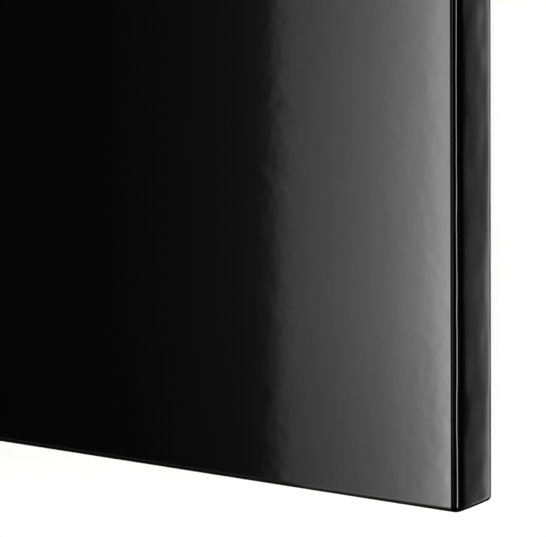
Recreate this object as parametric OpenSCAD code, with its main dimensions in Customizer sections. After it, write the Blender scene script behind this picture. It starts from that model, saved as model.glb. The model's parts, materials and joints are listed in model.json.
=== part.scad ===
// Two-door sliding wardrobe: a white board carcass with two high-gloss black
// slab doors that hang in front of it from a double aluminium track.
// Millimetres. +Z up, the doors face -Y, origin at the middle of the footprint.

/* [Overall] */
// Width across both closed doors
overall_w = 1500; // [1200:10:2000]
// Depth from the front of the front door to the wall
overall_d = 650; // [500:5:780]
// Height to the top of the fascia
overall_h = 2010; // [1650:5:2450]

/* [Boards] */
// Thickness of the carcass boards
board_t = 18; // [15:0.5:22]
// Thickness of the back panels
back_t = 3; // [2.5:0.5:4]
// Distance from the back panels to the rear edge of the sides
back_inset = 8; // [6:1:15]
// Height of the plinth boards
plinth_h = 57; // [45:1:100]
// Thickness of the plinth boards
plinth_t = 16; // [12:1:18]
// Height of the levelling feet under the boards
foot_h = 3; // [2:0.5:12]

/* [Doors] */
// Thickness of the door slabs
door_t = 18; // [16:0.5:22]
// Radius of the upright edges on the door fronts
door_side_r = 2.4; // [1:0.1:4]
// Radius of the top and bottom edges of the doors
door_end_r = 1.4; // [0.5:0.1:4]
// Radius of the upright edges on the door backs
door_back_r = 1.2; // [0.5:0.1:2.5]
// Height of the door bottoms above the floor
door_bottom = 45; // [42:1:70]
// Overlap of the two doors when closed
door_overlap = 50; // [40:1:80]
// How far each door stands out past the side of the carcass
door_overhang = 15; // [5:1:25]
// Free space between the two doors
door_gap = 10; // [8:1:15]
// Free space between the hanging gear of the rear door and the carcass
rear_gap = 0.5; // [0.5:0.5:10]

/* [Interior] */
// Height of the space above the hat shelves
hat_space = 300; // [200:10:420]
// Number of adjustable shelves in the right compartment
shelf_count = 4; // [1:1:6]
// Set-back of the shelves from the carcass front
shelf_setback = 25; // [15:1:60]
// Distance of the clothes rail below the hat shelf
rail_drop = 60; // [45:1:100]
// Pitch of the shelf pin holes
hole_pitch = 32; // [25:1:32]

/* [Hanging gear] */
// Thickness of the carriage plates
plate_t = 3; // [2:0.5:3]
// Width of the carriage plates
plate_w = 110; // [100:1:140]
// Free space between a stop block and the end cap beside it
stop_space = 7.7; // [1:0.1:45]
// Distance between the two wheels of a carriage
wheel_pitch = 76; // [60:1:80]
// Radius at which a wheel rolls on the rail
wheel_run_r = 12.5; // [10:0.5:14]
// Width of a wheel
wheel_w = 9; // [8:0.5:9]
// Radius of the wheel axles
axle_r = 3; // [2.5:0.5:4]
// Wall of the track extrusion
track_t = 2.5; // [2:0.5:3]
// Radius of the rail bead that the wheels run on
bead_r = 2.5; // [2:0.1:2.8]

/* [Hidden] */
$fn = 48;
cut = 1;                 // how far a cutting tool runs past a face
fit = 0.05;              // clearance round a screw, pin or axle
close_fit = 0.2;         // clearance round a piece let into a groove

// Places across the depth, front to back
front_door_y = -overall_d / 2;
rear_door_y = front_door_y + door_t + door_gap;
hub_gap = 1;
web_gap = 4;
carcass_y = rear_door_y + door_t + plate_t + hub_gap + wheel_w + web_gap + track_t + rear_gap;
wall_y = overall_d / 2;
back_panel_y = wall_y - back_inset - back_t;
inner_d = back_panel_y - carcass_y;

// Places across the width
carcass_w = overall_w - 2 * door_overhang;
inner_x = carcass_w / 2 - board_t;
door_w = (overall_w + door_overlap) / 2;

// Places up the height
track_rise = 8;
carcass_top = overall_h - track_rise;
bottom_z = foot_h + plinth_h;
floor_z = bottom_z + board_t;
ceiling_z = carcass_top - board_t;

// Hanging gear: the wheel rolls on the bead, and the bead stands on the lip
lip_gap = 6;
bead_rise = 0.8;
run_gap = 0.05;
flange_h = 2.5;
groove_r = bead_r + 0.2;
wheel_r = wheel_run_r + flange_h;
lip_rise = lip_gap + track_t;
bead_rise_z = lip_rise + bead_rise;
wheel_rise = bead_rise_z + bead_r + run_gap + wheel_run_r;
wheel_head_room = 2.65;
door_top = carcass_top - wheel_rise - wheel_r - wheel_head_room;
wheel_z = door_top + wheel_rise;
dish_r = [7, 10.5];
dish_d = 1;
rivet_head_r = axle_r + 2;
rivet_head_t = 1.5;
rivet_gap = 0.3;
collar_r = axle_r + 1.5;
plate_below = 50;
plate_above = 12;
plate_corner_r = 6;
carriage_screw_x = plate_w / 2 - 20;
carriage_screw_z = [12, 36];

// Pan-head screws: how deep they are drilled for, and what the tip leaves free
screw_r = 2;
screw_head_r = 4;
screw_head_h = 2.2;
screw_depth = 12;
screw_end_gap = 2;

// Track, fascia and stops
cap_t = 3;
track_len = overall_w - 2 * cap_t;
cap_gap = 0.5;
lip_margin = 0.5;
fascia_gap = 4;
fascia_t = door_t - 2;
fascia_screw_r = 1.25;
fascia_screw_head_r = 1.7;
fascia_screw_head_h = 1.2;
fascia_screw_count = 5;
fascia_screw_end = 60;
upstand_h = track_t + 2 * (fascia_screw_head_r + fit);
fascia_screw_z = carcass_top + (track_t + upstand_h) / 2;
track_tail = 60;
track_screw_count = 6;
track_screw_end = 40;
stop_len = 20;
buffer_len = 6;
stop_gap = 0.3;
stop_side_gap = 1;
stop_bead_gap = 0.5;
// Distance from a door's side edge to the middle of a carriage: its wheel meets the stop
carriage_inset = cap_t + stop_space + stop_len + buffer_len + stop_gap + wheel_r + wheel_pitch / 2;

// Bottom guide
guide_w = 60;
guide_t = 3;
guide_drop = 21;
guide_front = 1;
guide_screw_x = guide_w / 2 - 12;
guide_screw_drop = 12;
peg_r = 4;
peg_root_r = 2.5;
peg_flange_r = 8;
peg_flange_t = 3;
peg_head_room = 2;
peg_flange_gap = 6;
guide_z = door_bottom - peg_flange_gap - peg_flange_t - guide_t;
guide_groove_w = 9;
guide_groove_d = 14;
guide_groove_end = 18;

// Door stiffeners and seal
stiffener_w = 20;
stiffener_d = 7;
stiffener_wall = 1.8;
stiffener_inset = 120;
stiffener_end = 100;
seal_w = 10;
seal_pile_w = 4;
seal_inset = 4;
seal_base_t = 1.5;
seal_gap = 0.3;
seal_end = 10;

// Shelf pins: rows of holes at one pitch, and the shelves sit on chosen holes
pin_r = 2.5;
pin_hole_d = 8;
pin_end_gap = 0.5;
pin_out = 8;
pin_collar_r = 3.5;
pin_collar_t = 1;
first_hole = floor_z + 64;
hat_hole = floor((ceiling_z - hat_space - board_t - pin_r - first_hole) / hole_pitch);
hole_rows_right = [for (i = [0 : hat_hole + 1]) i];
hole_rows_left = [for (i = [hat_hole - 3 : hat_hole + 1]) i];
shelf_rear_gap = 8;
shelf_d = inner_d - shelf_setback - shelf_rear_gap;
shelf_side_gap = 1;
compartment_w = inner_x - board_t / 2;
shelf_w = compartment_w - 2 * shelf_side_gap;
shelf_y = carcass_y + shelf_setback;
pin_y = [shelf_y + 37, shelf_y + shelf_d - 80];

// Clothes rail: an upright oval tube in two open cradles
rail_h = 30;
rail_t = 15;
rail_wall = 1.2;
rail_end_gap = 0.5;
socket_wall = 2;
socket_depth = 14;
socket_plate_t = 3;
socket_plate_w = 24;
socket_plate_h = 62;
socket_corner_r = 6;
socket_screw_r = 1.75;
socket_screw_head_r = 3.2;
socket_screw_head_h = 1.6;
socket_screw_z = 25;
rail_y = carcass_y + inner_d / 2;

// Board joints
joint_y = [carcass_y + 90, back_panel_y - 70];
cam_r = 7.5;
cam_depth = 12.5;
cam_inset = 24;
cam_slot = [9, 1.4, 5];
cam_bolt_r = 3.5;
cam_bolt_gap = 1;
cam_thread_r = 2.5;
cam_thread_len = 10;
confirmat_r = 3.5;
confirmat_head_r = 5;
confirmat_head_h = 3;
confirmat_len = 47;
confirmat_end_gap = 4;
confirmat_key_r = 2;
confirmat_key_d = 3;
nail_head_r = 2.5;
nail_head_t = 0.6;
nail_end = 30;
nail_count = 12;
edge_nail_count = 4;
groove_d = 8;

// Feet and wall brackets
foot_r = 8;
foot_stem_r = 4;
foot_stem_len = 25;
foot_stem_gap = 1;
foot_y = [carcass_y + 40, wall_y - 60];
rear_plinth_y = back_panel_y - 60;
support_foot_y = [carcass_y + plinth_t + 20, rear_plinth_y - 20];
support_relief = 4;
support_relief_r = confirmat_head_r + 1;
bracket_w = 30;
bracket_t = 2;
bracket_leg = 40;
bracket_up = 24;
bracket_hole_r = 3.25;
bracket_hole_z = 14;
bracket_x = inner_x - 192;
bracket_screw_x = 8;
bracket_screw_y = wall_y - bracket_leg + 12;
bracket_screw_head_r = 3.5;

// Height of hole number i of a row
function hole_z(i) = first_hole + i * hole_pitch;
// Underside of a shelf that sits on hole number i
function shelf_z(i) = hole_z(i) + pin_r;
// The hole that adjustable shelf number k sits on
function shelf_hole(k) = round(k * hat_hole / (shelf_count + 1));
// Middle of the wheels, from the back face of the door that they carry
function wheel_y(back) = back + plate_t + hub_gap + wheel_w / 2;
// Front of the track web behind those wheels
function web_y(back) = back + plate_t + hub_gap + wheel_w + web_gap;
// The x of the meeting edge and of the outer edge of the door on side s
function meeting_x(s) = s * (overall_w / 2 - door_w);
function outer_x(s) = s * overall_w / 2;
// The x of wheel k, of 0 to 3, counted from the outer edge
function wheel_x(s, k) = s * (overall_w / 2
    - (k < 2 ? carriage_inset : door_w - carriage_inset)
    - (k % 2 == 0 ? -1 : 1) * wheel_pitch / 2);
// Front and back face of the door on side s
function front_of(s) = s > 0 ? rear_door_y : front_door_y;
function back_of(s) = front_of(s) + door_t;
// Middle of the clothes rail
function rail_z() = shelf_z(hat_hole) - rail_drop;
// n places spread evenly from -half to half
function spread(n, half) = [for (i = [0 : n - 1]) (2 * i / (n - 1) - 1) * half];
// Where the stiffeners, the carriages and the carriage screws of the door on side s are
function stiffener_x(s) = [outer_x(s) - s * stiffener_inset, meeting_x(s) + s * stiffener_inset];
function carriage_x(s, outer) = s * (overall_w / 2 - (outer ? carriage_inset : door_w - carriage_inset));
function carriage_screws_at(s) = [for (o = [false, true], k = [-1, 1], z = carriage_screw_z)
    [carriage_x(s, o) + k * carriage_screw_x, door_top - z]];

// Screws through the track, and the stops: inner face, direction and y of each, two for each door
track_screw_x = spread(track_screw_count, inner_x - track_screw_end);
track_screw_y = carcass_y + track_tail / 2;
fascia_screw_x = spread(fascia_screw_count, track_len / 2 - fascia_screw_end);
stop_places = [for (s = [-1, 1], e = [-1, 1])
    [e * (overall_w / 2 - cap_t - stop_space - stop_len), e, wheel_y(back_of(s))]];
stop_z = door_top + bead_rise_z + bead_r + stop_bead_gap;

// ---- helpers ----

// Box between two corners
module block(a, b) {
    translate(a) cube(b - a);
}

// Rectangle with four equal round corners, about its middle
module round_rect(w, h, r) {
    square([w - 2 * r, h], center = true);
    square([w, h - 2 * r], center = true);
    for (x = [-1, 1], y = [-1, 1])
        translate([x * (w / 2 - r), y * (h / 2 - r)]) circle(r);
}

// Upright oval, about its middle
module oval(w, h) {
    square([w, h - w], center = true);
    for (y = [-1, 1]) translate([0, y * (h - w) / 2]) circle(w / 2);
}

// Section with a round radius of its own at each corner: front pair and back pair
module edge_section(w, t, front_r, back_r) {
    difference() {
        square([w, t]);
        for (x = [0, 1], y = [0, 1]) {
            r = y == 0 ? front_r : back_r;
            translate([x * w, y * t]) rotate(90 * (x + y + (x < y ? 2 : 0))) difference() {
                translate([-cut, -cut]) square(r + cut);
                translate([r, r]) circle(r);
            }
        }
    }
}

// Cylinder along +Y, and along +X
module rod_y(r, l) {
    rotate([-90, 0, 0]) cylinder(r = r, h = l);
}
module rod_x(r, l) {
    rotate([0, 90, 0]) cylinder(r = r, h = l);
}

// Pan-head screw along +Z: the head stands below z = 0 and the shank above it
module screw(head_r, head_h, r, l) {
    translate([0, 0, -head_h]) cylinder(r = head_r, h = head_h);
    cylinder(r = r, h = l);
}

// ---- carcass ----

// Holes for the shelf pins, drilled along s from the face at x
module pin_holes(x, s, rows) {
    for (y = pin_y, i = rows)
        translate([s > 0 ? x - cut : x - pin_hole_d, y, hole_z(i)])
            rod_x(pin_r + fit, pin_hole_d + cut);
}

// Pilot holes for one rail socket in the face at x
module socket_holes(x, s) {
    for (z = [-1, 1])
        translate([s > 0 ? x - cut : x - screw_depth, rail_y, rail_z() + z * socket_screw_z])
            rod_x(socket_screw_r + fit, screw_depth + cut);
}

module side_panel(s) {
    color("white") difference() {
        block([s > 0 ? inner_x : -carcass_w / 2, carcass_y, foot_h],
              [s > 0 ? carcass_w / 2 : -inner_x, wall_y, carcass_top]);
        block([s > 0 ? inner_x - cut : -inner_x - groove_d, back_panel_y - close_fit, bottom_z],
              [s > 0 ? inner_x + groove_d : cut - inner_x, back_panel_y + back_t + close_fit,
               carcass_top + cut]);
        pin_holes(s * inner_x, s, s > 0 ? hole_rows_right : hole_rows_left);
        if (s < 0) socket_holes(-inner_x, -1);
        for (y = joint_y, z = [bottom_z, ceiling_z])
            translate([s > 0 ? inner_x - cut : -inner_x - cam_thread_len - fit, y, z + board_t / 2])
                rod_x(cam_thread_r + fit, cam_thread_len + cut + fit);
        for (y = foot_y)
            translate([s * (carcass_w - board_t) / 2, y, foot_h - cut])
                cylinder(r = foot_stem_r + fit, h = foot_stem_len + cut);
    }
}

module centre_partition() {
    color("white") difference() {
        block([-board_t / 2, carcass_y, floor_z], [board_t / 2, back_panel_y, ceiling_z]);
        pin_holes(board_t / 2, -1, hole_rows_right);
        pin_holes(-board_t / 2, 1, hole_rows_left);
        socket_holes(-board_t / 2, 1);
        for (y = joint_y, top = [0, 1])
            translate([0, y, top ? ceiling_z - confirmat_len : floor_z - cut])
                cylinder(r = confirmat_r + fit, h = confirmat_len + cut);
    }
}

// Top or bottom board: up is 1 where the cams and screws go in from above, else -1
module end_board(z, up) {
    color("white") difference() {
        block([-inner_x, carcass_y, z], [inner_x, back_panel_y, z + board_t]);
        for (s = [-1, 1], y = joint_y) {
            translate([s * (inner_x - cam_inset), y, up > 0 ? z + board_t - cam_depth : z - cut])
                cylinder(r = cam_r + fit, h = cam_depth + cut);
            translate([s > 0 ? inner_x - cam_inset : -inner_x - cut, y, z + board_t / 2])
                rod_x(cam_bolt_r + fit, cam_inset + cut);
        }
        for (y = joint_y) {
            translate([0, y, z - cut]) cylinder(r = confirmat_r + fit, h = board_t + 2 * cut);
            translate([0, y, up > 0 ? z + board_t - confirmat_head_h : z - cut])
                cylinder(r = confirmat_head_r + fit, h = confirmat_head_h + cut);
        }
        if (up > 0) {
            for (x = track_screw_x) translate([x, track_screw_y, z + board_t - screw_depth])
                cylinder(r = screw_r + fit, h = screw_depth + cut);
            for (s = [-1, 1], k = [-1, 1])
                translate([s * bracket_x + k * bracket_screw_x, bracket_screw_y,
                           z + board_t - screw_depth])
                    cylinder(r = screw_r + fit, h = screw_depth + cut);
        }
    }
}

module front_plinth() {
    color("white") difference() {
        block([-inner_x, carcass_y, foot_h], [inner_x, carcass_y + plinth_t, bottom_z]);
        for (x = [-1, 1]) translate([x * guide_screw_x, carcass_y - cut, guide_z - guide_screw_drop])
            rod_y(screw_r + fit, screw_depth + cut);
    }
}

module rear_plinth() {
    color("white")
        block([-inner_x, rear_plinth_y, foot_h], [inner_x, rear_plinth_y + plinth_t, bottom_z]);
}

module plinth_support() {
    color("white") difference() {
        block([-board_t / 2, carcass_y + plinth_t, foot_h],
              [board_t / 2, rear_plinth_y, bottom_z]);
        for (y = support_foot_y) translate([0, y, foot_h - cut])
            cylinder(r = foot_stem_r + fit, h = foot_stem_len + cut);
        for (y = joint_y) translate([0, y, bottom_z - support_relief])
            cylinder(r = support_relief_r, h = support_relief + cut);
    }
}

// Half of the back, let into the groove of one side and nailed to the other boards
module back_panel(s) {
    color("white")
        block([s > 0 ? close_fit : -inner_x - groove_d + close_fit, back_panel_y,
               bottom_z + close_fit],
              [s > 0 ? inner_x + groove_d - close_fit : -close_fit, back_panel_y + back_t,
               carcass_top]);
}

module back_panel_nails() {
    middle_z = (bottom_z + carcass_top) / 2;
    color("silver") translate([0, back_panel_y + back_t, 0]) {
        for (s = [-1, 1], z = spread(nail_count, carcass_top - middle_z - nail_end))
            translate([s * board_t / 4, 0, middle_z + z]) back_nail();
        for (s = [-1, 1], i = [1 : edge_nail_count], z = [bottom_z, ceiling_z])
            translate([s * i * inner_x / (edge_nail_count + 1), 0, z + board_t / 2]) back_nail();
    }
}

// Only the head: the shank is buried in the boards
module back_nail() {
    rod_y(nail_head_r, nail_head_t);
}

// Shelf on hole number i of the compartment on side s
module shelf(s, i) {
    x = s > 0 ? board_t / 2 + shelf_side_gap : shelf_side_gap - inner_x;
    color("white")
        block([x, shelf_y, shelf_z(i)], [x + shelf_w, shelf_y + shelf_d, shelf_z(i) + board_t]);
}

// Steel pin: a shank in the board, a collar against it and a smooth end under the shelf
module shelf_pin(s) {
    rotate([0, 90 * s, 0]) {
        translate([0, 0, -pin_out])
            cylinder(r = pin_r - fit, h = pin_out + pin_hole_d - pin_end_gap);
        translate([0, 0, -pin_collar_t]) cylinder(r = pin_collar_r, h = pin_collar_t);
    }
}

module shelf_pins() {
    right = [for (k = [1 : shelf_count]) shelf_hole(k)];
    color("silver") for (y = pin_y) {
        for (i = concat(right, [hat_hole])) {
            translate([board_t / 2, y, hole_z(i)]) shelf_pin(-1);
            translate([inner_x, y, hole_z(i)]) shelf_pin(1);
        }
        translate([-board_t / 2, y, hole_z(hat_hole)]) shelf_pin(1);
        translate([-inner_x, y, hole_z(hat_hole)]) shelf_pin(-1);
    }
}

module clothes_rail() {
    l = compartment_w - 2 * (socket_plate_t + rail_end_gap);
    color("silver") translate([socket_plate_t + rail_end_gap - inner_x, rail_y, rail_z()])
        rotate([90, 0, 90]) linear_extrude(l) difference() {
            oval(rail_t, rail_h);
            oval(rail_t - 2 * rail_wall, rail_h - 2 * rail_wall);
        }
}

// Cradle on the face at x, opening towards s
module rail_socket(x, s) {
    w = rail_t + 2 * (socket_wall + close_fit);
    h = rail_h + 2 * (socket_wall + close_fit);
    translate([x, rail_y, rail_z()]) rotate([90, 0, 90 * s]) difference() {
        union() {
            linear_extrude(socket_plate_t) round_rect(socket_plate_w, socket_plate_h, socket_corner_r);
            linear_extrude(socket_depth) oval(w, h);
        }
        translate([0, 0, socket_plate_t])
            linear_extrude(socket_depth) oval(w - 2 * socket_wall, h - 2 * socket_wall);
        translate([0, rail_h, socket_plate_t + socket_depth / 2])
            cube([w - 2 * socket_wall, 2 * rail_h, socket_depth], center = true);
        for (z = [-1, 1]) translate([0, z * socket_screw_z, -cut])
            cylinder(r = socket_screw_r + fit, h = socket_plate_t + 2 * cut);
    }
}

module rail_sockets() {
    color("silver") {
        rail_socket(-inner_x, 1);
        rail_socket(-board_t / 2, -1);
    }
}

module rail_socket_screws() {
    color("silver") for (s = [-1, 1], z = [-1, 1])
        translate([s > 0 ? -inner_x + socket_plate_t : -board_t / 2 - socket_plate_t, rail_y,
                   rail_z() + z * socket_screw_z])
            rotate([0, -90 * s, 0])
                screw(socket_screw_head_r, socket_screw_head_h, socket_screw_r,
                      socket_plate_t + screw_depth - screw_end_gap);
}

module cam_locks() {
    color("silver") for (s = [-1, 1], y = joint_y, top = [0, 1])
        translate([s * (inner_x - cam_inset), y, top ? carcass_top - cam_depth + fit : bottom_z])
            difference() {
                cylinder(r = cam_r, h = cam_depth - fit);
                // Cross slot for the driver
                for (a = [0, 90]) rotate(a)
                    translate([0, 0, top ? cam_depth : 0]) cube(cam_slot, center = true);
            }
}

module cam_bolts() {
    body = cam_inset - cam_r - cam_bolt_gap;
    color("silver") for (s = [-1, 1], y = joint_y, z = [bottom_z, ceiling_z])
        translate([s * inner_x, y, z + board_t / 2]) rotate([0, 90 * s, 0]) {
            translate([0, 0, -body]) cylinder(r = cam_bolt_r, h = body);
            cylinder(r = cam_thread_r, h = cam_thread_len);
        }
}

module partition_screws() {
    color("silver") for (y = joint_y, top = [0, 1])
        translate([0, y, top ? carcass_top : bottom_z]) mirror([0, 0, top])
            difference() {
                union() {
                    cylinder(r = confirmat_head_r, h = confirmat_head_h);
                    cylinder(r = confirmat_r, h = board_t + confirmat_len - confirmat_end_gap);
                }
                translate([0, 0, -cut])
                    cylinder(r = confirmat_key_r, h = confirmat_key_d + cut, $fn = 6);
            }
}

module levelling_feet() {
    color("dimgray") {
        for (s = [-1, 1], y = foot_y) translate([s * (carcass_w - board_t) / 2, y, 0]) foot();
        for (y = support_foot_y) translate([0, y, 0]) foot();
    }
}

module foot() {
    cylinder(r = foot_r, h = foot_h - fit);
    cylinder(r = foot_stem_r, h = foot_h + foot_stem_len - foot_stem_gap);
}

module wall_brackets() {
    color("gainsboro") for (s = [-1, 1]) translate([s * bracket_x, 0, carcass_top]) difference() {
        union() {
            block([-bracket_w / 2, wall_y - bracket_leg, 0], [bracket_w / 2, wall_y, bracket_t]);
            block([-bracket_w / 2, wall_y - bracket_t, 0], [bracket_w / 2, wall_y, bracket_up]);
        }
        translate([0, wall_y - bracket_t - cut, bracket_hole_z])
            rod_y(bracket_hole_r, bracket_t + 2 * cut);
        for (k = [-1, 1]) translate([k * bracket_screw_x, bracket_screw_y, -cut])
            cylinder(r = screw_r + fit, h = bracket_t + 2 * cut);
    }
}

module wall_bracket_screws() {
    color("silver") for (s = [-1, 1], k = [-1, 1])
        translate([s * bracket_x + k * bracket_screw_x, bracket_screw_y, carcass_top + bracket_t])
            mirror([0, 0, 1]) screw(bracket_screw_head_r, screw_head_h, screw_r, screw_depth);
}

// ---- track and guide ----

// One hanging rail: web, lip and bead, for the door whose back face is at y = back
module rail_section(back) {
    w = web_y(back);
    tip = wheel_y(back) - bead_r - lip_margin;
    translate([w, door_top + lip_gap]) square([track_t, carcass_top - door_top - lip_gap + track_t]);
    translate([tip, door_top + lip_gap]) square([w - tip + track_t, track_t]);
    translate([wheel_y(back), door_top + bead_rise_z]) circle(bead_r);
}

module track_section() {
    front = front_door_y + fascia_t;
    rear = carcass_y + track_tail;
    translate([front, carcass_top]) square([rear - front, track_t]);
    translate([front, carcass_top]) square([track_t, upstand_h]);
    translate([rear - track_t, carcass_top]) square([track_t, upstand_h]);
    rail_section(back_of(-1));
    rail_section(back_of(1));
}

module top_track() {
    color("silver") difference() {
        translate([-track_len / 2, 0, 0]) rotate([90, 0, 90]) linear_extrude(track_len)
            track_section();
        for (x = track_screw_x) translate([x, track_screw_y, carcass_top - cut])
            cylinder(r = screw_r + fit, h = track_t + 2 * cut);
        for (x = fascia_screw_x) translate([x, front_door_y + fascia_t - cut, fascia_screw_z])
            rod_y(fascia_screw_r + fit, track_t + 2 * cut);
        for (p = stop_places) translate([p[0] + p[1] * stop_len / 2, p[2], carcass_top - cut])
            cylinder(r = screw_r + fit, h = track_t + 2 * cut);
    }
}

module track_screws() {
    color("silver") {
        for (x = track_screw_x) translate([x, track_screw_y, carcass_top + track_t])
            mirror([0, 0, 1])
                screw(screw_head_r, screw_head_h, screw_r, track_t + screw_depth - screw_end_gap);
        for (p = stop_places)
            translate([p[0] + p[1] * stop_len / 2, p[2], carcass_top + track_t])
                mirror([0, 0, 1]) screw(screw_head_r, screw_head_h, screw_r, screw_depth);
    }
}

module fascia() {
    color("white") difference() {
        block([-overall_w / 2, front_door_y, door_top + fascia_gap],
              [overall_w / 2, front_door_y + fascia_t, overall_h]);
        for (x = fascia_screw_x)
            translate([x, front_door_y + fascia_t - screw_depth, fascia_screw_z])
                rod_y(fascia_screw_r + fit, screw_depth + cut);
    }
}

module fascia_screws() {
    color("silver") for (x = fascia_screw_x)
        translate([x, front_door_y + fascia_t + track_t, fascia_screw_z]) rotate([90, 0, 0])
            screw(fascia_screw_head_r, fascia_screw_head_h, fascia_screw_r, screw_depth);
}

module end_cap(s) {
    x0 = s > 0 ? overall_w / 2 - cap_t : -overall_w / 2;
    top = carcass_top + upstand_h;
    color("gainsboro") {
        block([x0, front_door_y + fascia_t, door_top + lip_gap],
              [x0 + cap_t, carcass_y - cap_gap, top]);
        block([x0, carcass_y - cap_gap, carcass_top], [x0 + cap_t, carcass_y + track_tail, top]);
    }
}

module end_stop_blocks() {
    color("dimgray") for (p = stop_places) difference() {
        stop_box(p, 0, stop_len);
        translate([p[0] + p[1] * stop_len / 2, p[2], carcass_top - screw_depth])
            cylinder(r = screw_r + fit, h = screw_depth + cut);
    }
}

module stop_buffers() {
    color("black") for (p = stop_places) stop_box(p, -buffer_len, 0);
}

// Box from a to b beyond the inner face of stop p, inside the wheel's channel
module stop_box(p, a, b) {
    half = wheel_w / 2 - stop_side_gap / 2;
    block([min(p[0] + p[1] * a, p[0] + p[1] * b), p[2] - half, stop_z],
          [max(p[0] + p[1] * a, p[0] + p[1] * b), p[2] + half, carcass_top]);
}

module guide_bracket() {
    color("gainsboro") difference() {
        union() {
            block([-guide_w / 2, carcass_y - guide_t, guide_z - guide_drop],
                  [guide_w / 2, carcass_y, guide_z + guide_t]);
            block([-guide_w / 2, front_door_y + guide_front, guide_z],
                  [guide_w / 2, carcass_y, guide_z + guide_t]);
        }
        for (x = [-1, 1])
            translate([x * guide_screw_x, carcass_y - guide_t - cut, guide_z - guide_screw_drop])
                rod_y(screw_r + fit, guide_t + 2 * cut);
        for (s = [-1, 1]) translate([0, front_of(s) + door_t / 2, guide_z - cut])
            cylinder(r = peg_root_r + fit, h = guide_t + 2 * cut);
    }
}

// Nylon peg that stands in the groove of each door
module guide_pegs() {
    top = door_bottom + guide_groove_d - peg_head_room;
    base = guide_z + guide_t;
    color("ivory") for (s = [-1, 1]) translate([0, front_of(s) + door_t / 2, 0]) {
        translate([0, 0, base]) cylinder(r = peg_flange_r, h = peg_flange_t);
        translate([0, 0, base]) cylinder(r = peg_r, h = top - base);
        translate([0, 0, guide_z]) cylinder(r = peg_root_r, h = guide_t);
    }
}

module guide_screws() {
    color("silver") for (x = [-1, 1])
        translate([x * guide_screw_x, carcass_y - guide_t, guide_z - guide_screw_drop])
            rotate([-90, 0, 0])
                screw(screw_head_r, screw_head_h, screw_r, guide_t + screw_depth - screw_end_gap);
}

// ---- doors ----

// Door slab of side s: foil-wrapped board with round edges and a guide groove stopped at both ends
module door_panel(s) {
    h = door_top - door_bottom;
    x0 = min(outer_x(s), meeting_x(s));
    back = back_of(s);
    color("black") difference() {
        intersection() {
            translate([x0, front_of(s), door_bottom]) linear_extrude(h)
                edge_section(door_w, door_t, door_side_r, door_back_r);
            translate([x0 + door_w, front_of(s), door_bottom]) rotate([90, 0, -90])
                mirror([1, 0]) linear_extrude(door_w) rotate(90) mirror([0, 1])
                    edge_section(h, door_t, door_end_r, door_end_r);
        }
        block([x0 + guide_groove_end, front_of(s) + (door_t - guide_groove_w) / 2, door_bottom - cut],
              [x0 + door_w - guide_groove_end, front_of(s) + (door_t + guide_groove_w) / 2,
               door_bottom + guide_groove_d]);
        for (x = stiffener_x(s))
            block([x - stiffener_w / 2, back - stiffener_d, door_bottom + stiffener_end],
                  [x + stiffener_w / 2, back + cut, door_top - stiffener_end]);
        for (p = carriage_screws_at(s)) translate([p[0], back - screw_depth, p[1]])
            rod_y(screw_r + fit, screw_depth + cut);
    }
}

// Two aluminium channels let into the back of the slab to keep it straight
module door_stiffeners(s) {
    w = stiffener_w - 2 * close_fit;
    d = stiffener_d - close_fit;
    back = back_of(s);
    color("silver") for (x = stiffener_x(s)) difference() {
        block([x - w / 2, back - d, door_bottom + stiffener_end + close_fit],
              [x + w / 2, back, door_top - stiffener_end - close_fit]);
        block([x - w / 2 + stiffener_wall, back - d + stiffener_wall,
               door_bottom + stiffener_end - cut],
              [x + w / 2 - stiffener_wall, back + cut, door_top - stiffener_end + cut]);
    }
}

// Steel plate that carries two wheels above the door's top edge
module carriage(s, outer) {
    back = back_of(s);
    h = plate_below + wheel_rise + plate_above;
    x = carriage_x(s, outer);
    color("gainsboro") difference() {
        translate([x, back + plate_t, door_top - plate_below + h / 2]) rotate([90, 0, 0])
            linear_extrude(plate_t) round_rect(plate_w, h, plate_corner_r);
        for (k = [-1, 1]) {
            translate([x + k * wheel_pitch / 2, back - cut, wheel_z])
                rod_y(axle_r + fit, plate_t + 2 * cut);
            for (z = carriage_screw_z)
                translate([x + k * carriage_screw_x, back - cut, door_top - z])
                    rod_y(screw_r + fit, plate_t + 2 * cut);
        }
    }
}

module carriage_screws(s) {
    color("silver") for (p = carriage_screws_at(s))
        translate([p[0], back_of(s) + plate_t, p[1]]) rotate([90, 0, 0])
            screw(screw_head_r, screw_head_h, screw_r, plate_t + screw_depth - screw_end_gap);
}

// Riveted axles, with a head behind each wheel
module axles(s) {
    l = plate_t + hub_gap + wheel_w + rivet_gap;
    color("silver") for (k = [0 : 3]) translate([wheel_x(s, k), back_of(s), wheel_z]) {
        rod_y(axle_r, l + rivet_head_t);
        translate([0, l, 0]) rod_y(rivet_head_r, rivet_head_t);
        // Spacer collar between the plate and the wheel
        translate([0, plate_t, 0]) rod_y(collar_r, hub_gap - rivet_gap);
    }
}

// Nylon wheel with a groove that fits over the rail bead
module wheel(s, k) {
    color("ivory") translate([wheel_x(s, k), wheel_y(back_of(s)), wheel_z]) rotate([90, 0, 0])
        rotate_extrude() difference() {
            translate([axle_r + fit, -wheel_w / 2]) square([wheel_r - axle_r - fit, wheel_w]);
            translate([wheel_run_r + groove_r, 0]) circle(groove_r);
            // Dished faces between the hub and the rim
            for (y = [-1, 1]) translate([dish_r[0], y * wheel_w / 2 - dish_d])
                square([dish_r[1] - dish_r[0], 2 * dish_d]);
        }
}

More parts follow.
